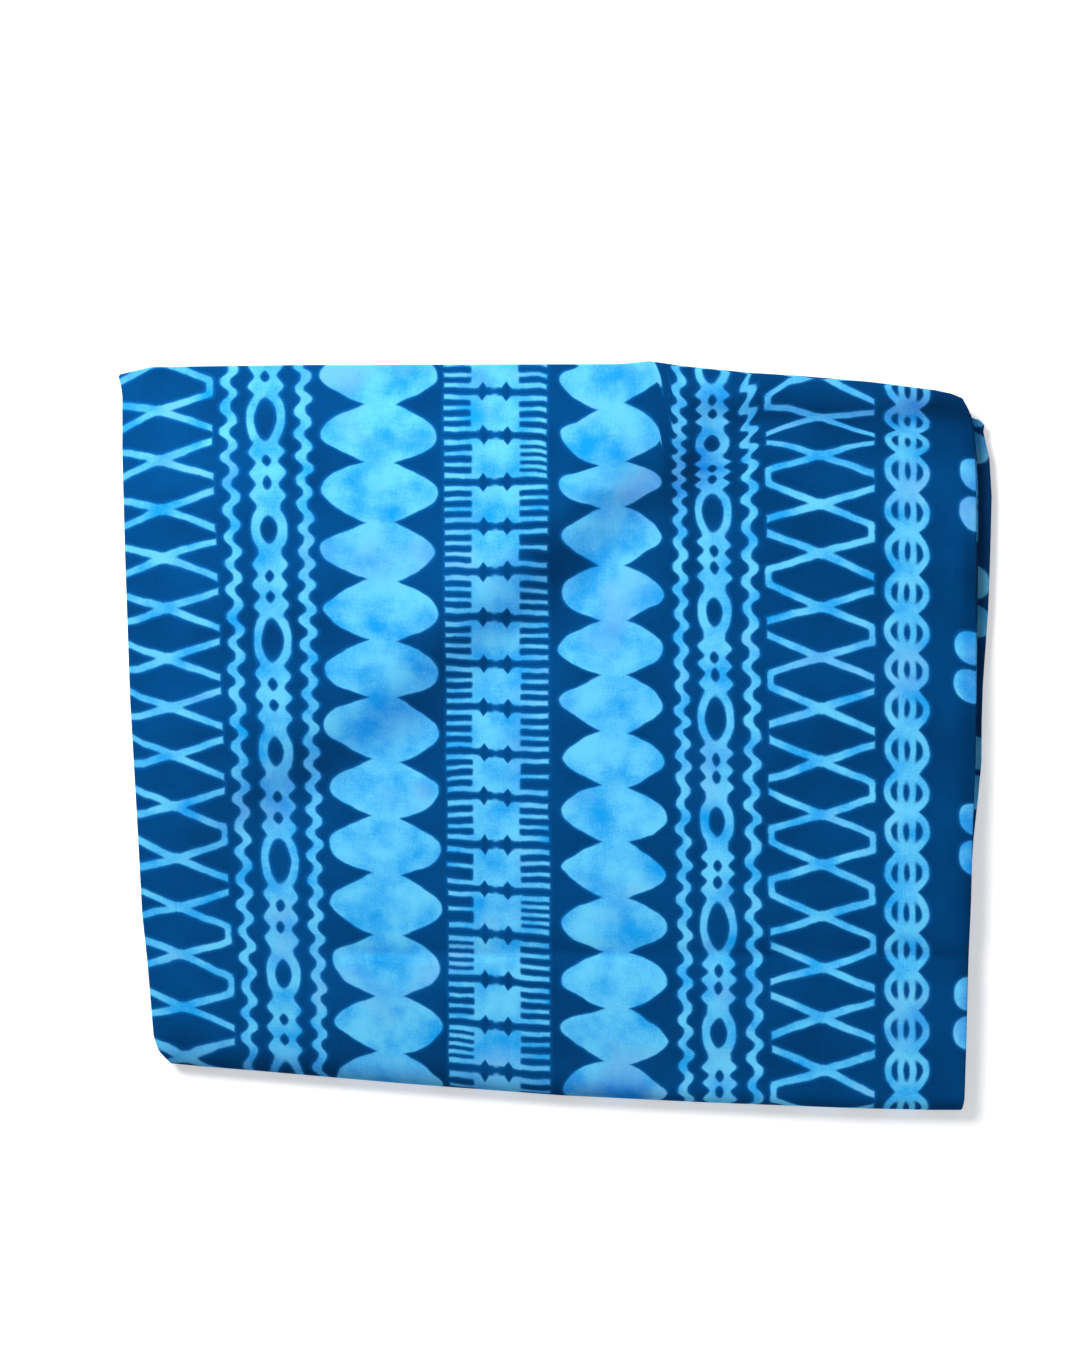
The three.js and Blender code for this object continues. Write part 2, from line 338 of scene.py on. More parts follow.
class Row:
    """One line of the sheet from selvedge to selvedge: on a leaf, or t of the way to the next.

    shape(x) gives y, z and the direction from the flaps to the lane, also as y and z. v(x, y) is
    the place along the cloth. at is the row's usual place along it, and weight its share of the
    colour map.
    """

    def __init__(self, cols, leaf, to, t, shape, v, at, weight):
        self.part, self.q = cols
        self.key = self.part + self.q  # rises from one selvedge to the other
        self.leaf, self.to, self.t = leaf, to, t
        self.shape, self.v, self.at, self.weight = shape, v, at, weight

    def by_stretch(self, flap_left, fold_left, lane, fold_right, flap_right):
        kinds = [self.part == k for k in (FLAP_LEFT, FOLD_LEFT, LANE, FOLD_RIGHT)]
        return np.select(kinds, [flap_left, fold_left, lane, fold_right], flap_right)

    def place(self):
        """Points of the row, and where they lie on the flat cloth."""
        part, q = self.part, self.q
        swing = np.sin(math.pi * q)
        x = FIRST_LEFT + FIRST_WIDE * q
        for _ in range(ROUNDS):
            y, z, ny, nz = self.shape(x)
            left, right = (a + (b - a) * self.t for a, b in
                           zip(sides(self.leaf, y), sides(self.to, y)))
            u_left = across(left, y)
            u_right = across(right, y)
            flap_left = CLOTH_WIDE / 2 + u_left - FOLD_DEEP
            flap_right = CLOTH_WIDE / 2 - u_right - FOLD_DEEP
            inner_left, inner_right = left + FOLD_DEEP, right - FOLD_DEEP
            x = self.by_stretch(inner_left + flap_left * (1 - q),
                                inner_left - FOLD_DEEP * swing,
                                inner_left + (inner_right - inner_left) * q,
                                inner_right + FOLD_DEEP * swing,
                                inner_right - flap_right * q)
        from_edge = np.minimum(x - left, right - x)
        apart = LANE_APART + (EDGE_APART - LANE_APART) * np.exp(-((from_edge / EDGE_OPEN) ** 2))
        down, up = -np.ones_like(x), np.ones_like(x)
        turning = np.cos(math.pi * q)
        off = self.by_stretch(down, -turning, up, turning, down) * apart / 2
        u = self.by_stretch(u_left - flap_left * (1 - q),
                            u_left + 2 * FOLD_DEEP * (q - 0.5),
                            across(x, y),
                            u_right + 2 * FOLD_DEEP * (q - 0.5),
                            u_right + flap_right * q)
        v = self.v(x, y)
        fine = top_creases(x, y) if self.leaf == 0 or self.to == 0 else np.zeros_like(x)
        share = 1 if self.leaf == self.to else self.t if self.to == 0 else 1 - self.t
        edge = np.exp(-((np.maximum(from_edge, 0) / CREASE_EDGE) ** 2))
        above = (part > FLAP_LEFT) & (part < FLAP_RIGHT)  # the flaps under the top leaf lie smooth
        level = (z + nz * off) * (1 + relief(x, y) / HEIGHT)
        z = level + fine * share * (1 - edge) * above
        return np.stack([x, y + ny * off, z], 1), np.stack([u, v], 1)


def leaf_rows(rows, leaf, forward, fractions, cols, v0, length, weight, first=None):
    """Rows of a leaf. forward is to the back, and first the columns of the first two rows."""
    for n, f in enumerate(fractions if forward else fractions[::-1]):
        def shape(x, f=f):
            front, back = leaf_ends(leaf, x)
            y = front + (back - front) * f
            flat = np.ones_like(x)
            return y, mid_z(leaf) * flat, 0 * flat, flat * (1 if forward else -1)

        done = f if forward else 1 - f

        def v(x, y, done=done):
            return taken(x, y, leaf) + v0 + done * length

        use = first if first is not None and n < 2 else cols
        rows.append(Row(use, leaf, leaf, 0, shape, v, v0 + done * length, weight))


def taken(x, y, leaf):
    """How much of the print the pinch has taken up on the way to a place on the top leaf."""
    if leaf:
        return 0 * x
    past = y - along(TAKEN_AT, x)
    step = 1 / (1 + np.exp(-past * 2 / along(TAKEN_WIDE, x)))
    slow = along(GIVEN_BACK, x) / (1 + np.exp(-past * 2 / BACK_WIDE))
    return along(TAKEN_UP, x) * (step - slow)


def turn_rows(rows, a, b, steps, cols, v0, length, weight):
    """Rows of the half round from leaf a to leaf b. The one up to the top leaf is the wrap."""
    up = 1 if b < a else -1
    ahead = 1 if a % 2 == 0 and a != LEAVES - 1 else -1  # at the back or at the front
    tall = abs(mid_z(b) - mid_z(a)) / 2
    for k in range(1, steps):
        angle = math.pi * k / steps

        def shape(x, angle=angle):
            front, back = leaf_ends(a, x)
            deep = wrap_deep(x) if b == 0 else np.full_like(x, PITCH / 2)
            run_y = ahead * deep * math.cos(angle)
            run_z = up * tall * math.sin(angle)
            n = np.hypot(run_y, run_z)
            y = (back if ahead > 0 else front) + ahead * deep * math.sin(angle)
            z = np.full_like(x, (mid_z(a) + mid_z(b)) / 2 - up * tall * math.cos(angle))
            return y, z, -run_z / n, run_y / n

        def v(x, y, k=k):
            keep = (1 - k / steps) if a == 0 else 0
            return v0 + length * k / steps + keep * along(TAKEN_UP, x) * (1 - along(GIVEN_BACK, x))

        rows.append(Row(cols, a, b, k / steps, shape, v, v0 + length * k / steps, weight))


def spread(count, ends):
    """Fractions along a leaf: even, with extra ones close to both ends."""
    close = np.array(ends)
    return np.unique(np.round(np.concatenate([np.linspace(0, 1, count + 1), close, 1 - close]), 5))


def sheet_rows():
    """All rows, from the cut end on the table to the one inside the wrap, and the cloth's length."""
    middle = np.array([0.0])
    rows, v = [], 0.0

    def depth(leaf):
        front, back = leaf_ends(leaf, middle)
        return float((back - front)[0])

    last = LEAVES - 1
    leaf_rows(rows, last, False, spread(OTHER_ROWS, OTHER_ENDS), PLAIN, v, depth(last),
              MAP_WEIGHTS[last])
    v += depth(last)
    wrap = math.pi * math.sqrt((float(wrap_deep(middle)[0]) ** 2 + (HEIGHT / 2) ** 2) / 2)
    turn_rows(rows, last, 0, WRAP_STEPS, FINE, v, wrap, 1.0)
    v += wrap
    leaf_rows(rows, 0, True, spread(TOP_ROWS, TOP_ENDS), FINE, v, depth(0), MAP_WEIGHTS[0])
    v += depth(0)
    bend = math.pi * PITCH / 2
    for leaf in range(1, last):
        count, cols, first = (SECOND_ROWS, MEDIUM, FINE) if leaf == 1 else (OTHER_ROWS, PLAIN, None)
        turn_rows(rows, leaf - 1, leaf, TURN_STEPS, first or PLAIN, v, bend, 1.0)
        v += bend + PRINT_SLIP.get(leaf, 0)
        leaf_rows(rows, leaf, leaf % 2 == 0, spread(count, OTHER_ENDS), cols, v, depth(leaf),
                  MAP_WEIGHTS.get(leaf, MAP_HIDDEN), first)
        v += depth(leaf)
    return rows, v - sum(PRINT_SLIP.values())


def stitch(a, b, ia, ib):
    """Faces between two rows whose columns may differ, the nearer next column first."""
    faces, i, j = [], 0, 0
    keys_a, keys_b = [*a.key, math.inf], [*b.key, math.inf]
    while i < len(a.key) - 1 or j < len(b.key) - 1:
        na, nb = keys_a[i + 1], keys_b[j + 1]
        if abs(na - nb) < SAME_KEY:
            faces.append((ia + i, ia + i + 1, ib + j + 1, ib + j))
            i, j = i + 1, j + 1
        elif na < nb:
            faces.append((ia + i, ia + i + 1, ib + j))
            i += 1
        else:
            faces.append((ia + i, ib + j + 1, ib + j))
            j += 1
    return faces


def unit(vectors):
    return vectors / np.maximum(np.linalg.norm(vectors, axis=1, keepdims=True), TINY)


def vertex_normals(points, faces):
    normals = np.zeros_like(points)
    for size in (3, 4):
        ids = np.array([f for f in faces if len(f) == size])
        corner = points[ids]
        # two sides of a triangle, or the two diagonals of a four-sided face
        a, b = corner[:, size - 2] - corner[:, 0], corner[:, size - 1] - corner[:, size - 3]
        straight_up = unit(np.cross(a, b))
        for k in range(size):
            np.add.at(normals, ids[:, k], straight_up)
    return unit(normals)


def map_lines(rows):
    """Where each row, and each of its columns, lies on the colour map, from 0 to 1."""
    at = np.array([row.at for row in rows])
    weight = np.array([row.weight for row in rows])
    steps = np.abs(np.diff(at)) * (weight[1:] + weight[:-1]) / 2
    along_map = np.concatenate([[0], np.cumsum(steps)]) / steps.sum()
    starts = np.concatenate([[0], np.cumsum(MAP_SPANS)])
    across_map = [starts[row.part] + row.q * np.array(MAP_SPANS)[row.part] for row in rows]
    return along_map, across_map


def rim_faces(rows, starts, on_map, count):
    """Faces that close the two cut ends and the two selvedges, and their places on the map."""
    first = list(range(starts[0], starts[0] + len(rows[0].key)))
    final = list(range(starts[-1], starts[-1] + len(rows[-1].key)))
    right = [s + len(r.key) - 1 for s, r in zip(starts, rows)]
    rim, rim_map = [], []
    for k, (line, ahead) in enumerate(((first, False), (final, True), (starts, True), (right, False))):
        low_line = MAP_RIMS + k * MAP_RIM_STEP
        run = on_map[line, 0 if k < 2 else 1]
        for n in range(len(line) - 1):
            i, j = (n + 1, n) if ahead else (n, n + 1)
            rim.append((line[j], line[i], line[i] + count, line[j] + count))
            for m, lift in ((j, 0), (i, 0), (i, MAP_RIM_HIGH), (j, MAP_RIM_HIGH)):
                rim_map.append((MAP_EDGE + (1 - 2 * MAP_EDGE) * run[m], low_line + lift))
    return rim, rim_map


def build_sheet():
    """The whole sheet as one closed mesh, and its length along the fold."""
    rows, length = sheet_rows()
    sizes = [len(row.key) for row in rows]
    starts = [sum(sizes[:k]) for k in range(len(rows))]
    points, flat = (np.concatenate(lists) for lists in zip(*(row.place() for row in rows)))
    faces = []
    for k in range(len(rows) - 1):
        faces += stitch(rows[k], rows[k + 1], starts[k], starts[k + 1])
    normals = vertex_normals(points, faces)
    count = len(points)
    solid = np.concatenate([points + normals * CLOTH_THICK / 2, points - normals * CLOTH_THICK / 2])

    along_map, across_map = map_lines(rows)
    on_map = np.stack([MAP_EDGE + (1 - 2 * MAP_EDGE) * np.concatenate(across_map),
                       np.repeat(along_map, sizes)], 1)
    rim, rim_map = rim_faces(rows, starts, on_map, count)
    inner = [tuple(i + count for i in f[::-1]) for f in faces]
    every = faces + inner + rim

    mesh = bpy.data.meshes.new("cloth_sheet")
    place = solid - (*PLAN_CENTRE, solid[:, 2].min())
    mesh.from_pydata((place * MM).tolist(), [], every)
    # painted shade and light for the material, and the figures' tone with painted light to the right
    # and front
    for name, share in (("painted_shading", painted_shading), ("figure_tone_and_painted_light", figure_tone_and_painted_light)):
        layer = mesh.attributes.new(name, "FLOAT", "POINT")
        layer.data.foreach_set("value", share(solid[:, 0], solid[:, 1]).astype(np.float32))
    mesh.polygons.foreach_set("use_smooth", [True] * (2 * len(faces)) + [False] * len(rim))
    corner = np.array([i for f in every for i in f])
    layer = mesh.uv_layers.new(name="flat")
    layer.data.foreach_set("uv", (flat[corner % count] * MM).astype(np.float32).ravel())
    laid = on_map[corner % count]
    (low_out, high_out), (low_in, high_in) = MAP_OUTER, MAP_INNER
    laid[:, 1] = np.where(corner < count, low_out + (high_out - low_out) * laid[:, 1],
                          low_in + (high_in - low_in) * laid[:, 1])
    laid[len(laid) - len(rim_map):] = rim_map
    layer = mesh.uv_layers.new(name="OFBake")
    layer.data.foreach_set("uv", laid.astype(np.float32).ravel())
    mesh.validate()
    mesh.update()
    return mesh, length


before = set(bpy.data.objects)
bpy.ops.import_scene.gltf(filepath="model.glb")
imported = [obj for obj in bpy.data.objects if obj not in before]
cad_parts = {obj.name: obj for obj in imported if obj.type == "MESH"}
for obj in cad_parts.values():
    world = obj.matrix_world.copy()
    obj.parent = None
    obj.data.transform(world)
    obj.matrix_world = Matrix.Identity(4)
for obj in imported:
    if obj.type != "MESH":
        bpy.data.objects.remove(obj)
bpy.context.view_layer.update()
sheet_mesh, cloth_long = build_sheet()
sheet = bpy.data.objects.new("cloth_sheet", sheet_mesh)
bpy.context.scene.collection.objects.link(sheet)


class Field:
    """A value of the material at every place, with nodes as plain arithmetic."""

    tree = None

    def __init__(self, socket):
        self.socket = socket

    @staticmethod
    def math(kind, *terms, clamp=False):
        node = Field.tree.nodes.new("ShaderNodeMath")
        node.operation, node.use_clamp = kind, clamp
        for slot, term in zip(node.inputs, terms):
            if isinstance(term, Field):
                Field.tree.links.new(term.socket, slot)
            else:
                slot.default_value = term
        return Field(node.outputs[0])

    def __add__(self, o):
        return Field.math("ADD", self, o)

    __radd__ = __add__

    def __sub__(self, o):
        return Field.math("SUBTRACT", self, o)

    def __rsub__(self, o):
        return Field.math("SUBTRACT", o, self)

    def __mul__(self, o):
        return Field.math("MULTIPLY", self, o)

    __rmul__ = __mul__

    def __truediv__(self, o):
        return Field.math("DIVIDE", self, o)

    def __abs__(self):
        return Field.math("ABSOLUTE", self)

    def sin(self):
        return Field.math("SINE", self)

    def power(self, o):
        return Field.math("POWER", self, o)


def low(a, b):
    return Field.math("MINIMUM", a, b)


def high(a, b):
    return Field.math("MAXIMUM", a, b)


def soft_low(a, b, blend):
    """The lower of two, run together where they are about the same."""
    return Field.math("SMOOTH_MIN", a, b, blend)


def length_of(a, b):
    return Field.math("SQRT", a * a + b * b)


def ramp(d, start, end):
    """0 where d is at start or before, 1 at end or past it, smooth between."""
    node = Field.tree.nodes.new("ShaderNodeMapRange")
    node.interpolation_type = "SMOOTHSTEP"
    Field.tree.links.new(d.socket, node.inputs["Value"])
    node.inputs["From Min"].default_value = start
    node.inputs["From Max"].default_value = end
    return Field(node.outputs["Result"])


def noise(u, v, size, offset, stretch=1.0, detail=2.0):
    """Soft noise around 0, from about -0.5 to 0.5. stretch lengthens it along v."""
    tree = Field.tree
    joined = tree.nodes.new("ShaderNodeCombineXYZ")
    tree.links.new((u / size).socket, joined.inputs[0])
    tree.links.new((v / (size * stretch)).socket, joined.inputs[1])
    joined.inputs[2].default_value = offset
    node = tree.nodes.new("ShaderNodeTexNoise")
    node.inputs["Scale"].default_value = 1.0
    node.inputs["Detail"].default_value = detail
    tree.links.new(joined.outputs[0], node.inputs["Vector"])
    return Field(node.outputs["Fac"]) - 0.5


def uneven(u, v, kind):
    """Soft unevenness around 0. kind is how much, how wide in mm, and which draw."""
    much, wide, draw = kind
    return much * noise(u, v, wide, offset=draw)


def cell(v, pitch, phase):
    """Distance along the cloth from the nearest repeat's middle, signed."""
    t = (v - phase) / pitch
    return (t - Field.math("ROUND", t)) * pitch


# u of the middle of each band of the pattern. The comb band's is 0, and the bands are mirrored
# about it and again about the discs.
LENSES, WAVE_A, CHAIN, WAVE_B, CROSSES, BEADS, DISCS = 80, 129, 153, 178, 226, 285, 330
# Along the cloth: repeat and start left of the comb band, repeat and start right of it
BANDS = {
    "combs": (31.4, 27.3, 31.4, 27.3),
    "lenses": (41.4, 2.5, 37.7, 16.7),
    "wave_a": (16.6, 3.0, 16.2, 12.2),
    "chain": (158.0, 17.0, 143.5, 48.0),
    "wave_b": (18.9, 6.0, 19.2, 0.6),
    "crosses": (35.9, 2.0, 35.45, 30.9),
    "beads": (27.6, 12.0, 27.6, 5.6),
    "discs": (122.9, 30.0, 122.9, 79.3),
}

# Sizes of the figures. Of a pair, one is across and one along the cloth, and a third value is the
# power of a squarish round. A name with less, few or many is a change to the size before it, and
# one with noise is an unevenness of it: how much, how wide, which draw.
WARP = Sizes(long_u=(3.0, 42, 1), short_u=(1.4, 11, 2), long_v=(10.0, 75, 3), short_v=(1.8, 12, 4))
COMB = Sizes(draw_side=57.0, few_below=0.1, many_above=0.92, gap=7.5, few_gap=3.7, many_gap=1.9,
             tooth=1.2, flare_from_to=(6.5, 9.0), flare=0.35, teeth_from=13.0, teeth_to=35.4,
             teeth_end=12.9, body=(16.3, 12.5), notch_at=(8.2, 13.8), notch_slope=1.25, notch=5.0,
             lobe=(7.2, 13.3), blend=2.6)
LENS = Sizes(lean_noise=(0.7, 44, 10), most_lean=0.13,
             blunt=2.05, blunt_less=0.15, blunt_noise=(1.6, 70, 12),
             reach=29.0, reach_less=2.0, reach_noise=(8.0, 60, 13),
             neck=9.8, neck_less=0.8, neck_noise=(5.0, 50, 14), round=1.08, slope=5.0)
WAVES = (("wave_a", WAVE_A, 2.3), ("wave_b", WAVE_B, 2.8))  # name, u of the line, swing
WAVE = Sizes(place_noise=(5.0, 26, 18), point=0.25, swing_noise=(2.2, 30, 19), thick=2.5,
             thick_noise=(1.8, 16, 15), slope=0.8)
KNOT = Sizes(first=24.5, last=24.0, waist=7.5, waist_noise=(2.5, 20, 16), spike=4.3, slope=0.75,
             from_tall=17.5, from_short=12.0, eye=(3.3, 4.6, 1.6), eye_at=0.44,
             eye_from_tall=23.4, eye_from_short=24.6, blend=2.5)
RINGS = Sizes(tall=(12.7, 20.0, 2.3), short=(11.8, 15.5, 2.4), tall_hole=(7.8, 16.4, 1.75),
              short_hole=(5.9, 10.3, 1.75))
CROSS = Sizes(stroke_to=(39.0, 14.0), half=2.6, taper=0.012, cut=36.4, link_at=35.0, link_half=1.9,
              link_from=12.6, open_share=0.66, link_blend=3.0, middle_slope=0.42, middle=3.6,
              middle_blend=2.0, draw_half=31.0, draw_side=113.0)
BEAD = Sizes(neck=8.0, blunt=2.4, round=1.3, reach=7.4, slope=0.8, slot=(2.2, 6.4), side_at=8.6,
             side_bow=0.04, side_slot=(2.4, 6.8))
DISC = Sizes(noise_v=(1.2, 12, 4), apart=13.9, off=1.5, wander_noise=(14.0, 130, 17),
             noise_u=(1.5, 14, 2), size=(11.6, 11.9, 2.2))
FAR_OFF = 40.0  # added to the distance, it leaves a figure out
ALMOST_ONE = 0.999  # the most of a share whose rest is raised to a power


def by_side(right, name):
    """Repeat and start of a band, on the side of the comb band where a place is."""
    pitch_l, phase_l, pitch_r, phase_r = BANDS[name]
    return pitch_l + right * (pitch_r - pitch_l), phase_l + right * (phase_r - phase_l)


def count_of(v, pitch, phase):
    """Which repeat along the cloth a place belongs to."""
    return Field.math("ROUND", (v - phase) / pitch)


def chance(number):
    """An even draw from 0 to 1 for each whole number."""
    node = Field.tree.nodes.new("ShaderNodeTexWhiteNoise")
    node.noise_dimensions = "1D"
    Field.tree.links.new((number + 0.5).socket, node.inputs["W"])
    return Field(node.outputs["Value"])


def ring(x, y, rx, ry, power):
    """Distance outside a squarish round, to scale along x."""
    sum_of = (x / rx).power(power) + (y / ry).power(power)
    return (sum_of.power(1 / power) - 1) * rx


def capsule(x, y, bx, by, half):
    """Distance to a straight stroke from the middle to (bx, by), less half its thickness."""
    t = Field.math("MULTIPLY", x * bx + y * by, 1 / (bx * bx + by * by), clamp=True)
    return length_of(x - t * bx, y - t * by) - half


def oval(x, y, rx, ry):
    """Distance outside an oval, to scale along its short way."""
    return (length_of(x / rx, y / ry) - 1) * min(rx, ry)


def comb_band(m, v, right):
    """Notched blocks with three, four or five teeth a side."""
    pitch, phase = by_side(right, "combs")
    y = cell(v, pitch, phase)
    draw = chance(count_of(v, pitch, phase) + COMB.draw_side * right)
    few = Field.math("LESS_THAN", draw, COMB.few_below)
    many = Field.math("GREATER_THAN", draw, COMB.many_above)
    gap = COMB.gap + few * COMB.few_gap - many * COMB.many_gap
    odd = high(few, many)
    tooth = abs(cell(y, gap, gap * 0.5 * (1 - odd)))
    y = abs(y)
    thick = COMB.tooth + ramp(y, *COMB.flare_from_to) * COMB.flare
    side = high(m - COMB.teeth_to, COMB.teeth_from - m)
    tooth = high(high(side, tooth - thick), y - COMB.teeth_end)
    body = high(m - COMB.body[0], y - COMB.body[1])
    notch = abs(m - COMB.notch_at[0]) * COMB.notch_slope + abs(y - COMB.notch_at[1]) - COMB.notch
    lobe = oval(m, y, *COMB.lobe)
    return soft_low(low(high(body, -1 * notch), lobe), tooth, COMB.blend)


def lens_band(u, v, m, warped, right):
    """Rounded lozenges that run into each other."""
    pitch, phase = by_side(right, "lenses")
    lean = low(high(uneven(u, v, LENS.lean_noise), -LENS.most_lean), LENS.most_lean)
    t = cell(warped, pitch, phase) / (pitch * 0.5)
    t = low(abs(t + lean * (1 - t * t)), ALMOST_ONE)
    blunt = LENS.blunt - right * LENS.blunt_less + uneven(u, v, LENS.blunt_noise)
    reach = LENS.reach - right * LENS.reach_less + uneven(u, v, LENS.reach_noise)
    neck = LENS.neck - right * LENS.neck_less + uneven(u, v, LENS.neck_noise)
    wide = neck + (1 - t.power(blunt)).power(LENS.round) * reach
    return (abs(m - LENSES) - wide) / (1 + LENS.slope * t * t).power(0.5)


def wavy_lines(u, v, m, warped, right):
    """The two crooked lines beside the chain."""
    strokes = None
    for name, at, swing in WAVES:
        pitch, phase = by_side(right, name)
        place = warped + uneven(u * 0.0 + at, v, WAVE.place_noise)
        bend = ((place - phase) / pitch * (2 * math.pi)).sin()
        bend = bend * (1 + WAVE.point - WAVE.point * bend * bend)
        bend = bend * (swing + uneven(u, v, WAVE.swing_noise))
        thick = WAVE.thick + uneven(u, v, WAVE.thick_noise)
        line = abs(m - at - bend) * WAVE.slope - thick
        strokes = line if strokes is None else low(strokes, line)
    return strokes


def chain_band(u, v, m, warped, right):
    """A tall and a short ring in turn, with a notched knot between them."""
    pitch, phase = by_side(right, "chain")
    c = abs(cell(warped, pitch, phase))
    far = pitch * 0.5 - c  # zero half a repeat on, at the short ring
    x = abs(m - CHAIN)
    gap = pitch * 0.25 - (KNOT.first + KNOT.last) / 2  # between the three spikes of a knot
    s = abs(cell(c, gap, KNOT.first)) / (gap * 0.5)
    spiked = Field.math("GREATER_THAN", c, KNOT.first - gap * 0.5)
    spiked = spiked * Field.math("GREATER_THAN", far, KNOT.last - gap * 0.5)
    waist = x - KNOT.waist - uneven(u, v, KNOT.waist_noise)
    knot = (waist - ramp(s, 1.0, 0.0) * spiked * KNOT.spike) * KNOT.slope
    knot = high(high(knot, KNOT.from_tall - c), KNOT.from_short - far)
    eyes = ring(x, abs(cell(c, gap, KNOT.first + gap * KNOT.eye_at)), *KNOT.eye)
    eyes = high(high(eyes, KNOT.eye_from_tall - c), KNOT.eye_from_short - far)
    rings = low(ring(x, c, *RINGS.tall), ring(x, far, *RINGS.short))
    solid = soft_low(knot, rings, KNOT.blend)
    inner = low(ring(x, c, *RINGS.tall_hole), ring(x, far, *RINGS.short_hole))
    return high(solid, -1 * low(eyes, inner))


def cross_band(m, warped, right):
    """Crossed strokes, some of them joined to the next at their ends."""
    pitch, phase = by_side(right, "crosses")
    y = cell(warped, pitch, phase)
    x = abs(m - CROSSES)
    seam = count_of(warped, pitch, phase + pitch * 0.5)
    half = Field.math("GREATER_THAN", m, CROSSES)
    draw = chance(seam + CROSS.draw_half * half + CROSS.draw_side * right)
    y = abs(y)
    stroke = high(capsule(x, y, *CROSS.stroke_to, CROSS.half) + x * CROSS.taper, x - CROSS.cut)
    link = high(abs(x - CROSS.link_at) - CROSS.link_half, CROSS.link_from - y)
    link = link + FAR_OFF * Field.math("LESS_THAN", draw, CROSS.open_share)
    middle = x * CROSS.middle_slope + y - CROSS.middle
    return soft_low(soft_low(stroke, middle, CROSS.middle_blend), link, CROSS.link_blend)


def bead_band(m, warped, right):
    """A string of round beads, each with three slots."""
    pitch, phase = by_side(right, "beads")
    y = abs(cell(warped, pitch, phase))
    x = abs(m - BEADS)
    t = low(y / (pitch * 0.5), ALMOST_ONE)
    beads = (x - BEAD.neck - (1 - t.power(BEAD.blunt)).power(BEAD.round) * BEAD.reach) * BEAD.slope
    beads = high(beads, -1 * oval(x, y, *BEAD.slot))
    return high(beads, -1 * oval(x - BEAD.side_at + y * y * BEAD.side_bow, y, *BEAD.side_slot))


def disc_pairs(u, v, right):
    """Pairs of discs on the line where the cloth is folded double."""
    pitch, phase = by_side(right, "discs")
    middle = u * 0.0 + DISCS
    line = v + uneven(middle, v, WARP.long_v) + uneven(u, v, DISC.noise_v)
    y = abs(abs(cell(line, pitch, phase)) - DISC.apart)
    x = abs(u) - DISCS - DISC.off + uneven(middle, v, DISC.wander_noise) + uneven(u, v, DISC.noise_u)
    return ring(abs(x), y, *DISC.size)


def pattern(u, v):
    """Distance in mm to the nearest edge of the light figures, below zero inside them."""
    right = Field.math("GREATER_THAN", u, 0.0)
    warped_u = u + uneven(u, v, WARP.long_u) + uneven(u, v, WARP.short_u)
    warped = v + uneven(u, v, WARP.long_v) + uneven(u, v, WARP.short_v)
    m = DISCS - abs(DISCS - abs(warped_u))  # mirrored at the comb band and at the discs
    combs = comb_band(m, warped, right)
    lenses = lens_band(u, v, m, warped, right)
    strokes = wavy_lines(u, v, m, warped, right)
    chain = chain_band(u, v, m, warped, right)
    crosses = cross_band(m, warped, right)
    beads = bead_band(m, warped, right)
    discs = disc_pairs(u, v, right)
    return low(low(low(combs, lenses), low(strokes, chain)), low(low(crosses, beads), discs))


# The dye and the yarn, and the painted shade on the side folds that stick out. spread is where the
# light colour of a pair takes over from the deep one.
EDGE = Sizes(noise=(0.5, 4.5, 5), soft=0.75, halo=(3.0, -0.4), halo_share=0.5)
NOISES = Sizes(mottle={"size": 26, "detail": 3.0, "offset": 6},
               cool={"size": 60, "detail": 2.0, "offset": 7},
               weft={"size": 14.0, "stretch": 0.06, "detail": 2.0, "offset": 8},
               warp={"size": 0.7, "stretch": 16.0, "detail": 2.0, "offset": 9},
               grain={"size": 1.6, "detail": 1.0, "offset": 20})
GROUND = Sizes(deep=(0.0002, 0.036, 0.132), light=(0.0003, 0.055, 0.195), halo=(0.001, 0.12, 0.43),
               slub=0.5, grain=0.3, spread=(-0.3, 0.3))
FIGURE = Sizes(deep=(0.004, 0.25, 0.63), light=(0.098, 0.455, 0.71), cool=(0.14, 0.35, 0.62),
               slub=0.22, grain=0.22, spread=(-0.26, 0.2), cool_spread=(0.02, 0.26),
               cool_share=0.55, blue_darkened=0.55)
# Painted shade on the side folds that stick out: shaded ground and figure colours, how soft its start
# is, how much of it
PAINTED_FOLD_SHADE = Sizes(ground=(0.004, 0.016, 0.05), figure=(0.055, 0.14, 0.24), soft=2.0, share=0.5)
COTTON = Sizes(rough=0.8, shine=0.02, bump=0.35, yarn_high=0.3 * MM)


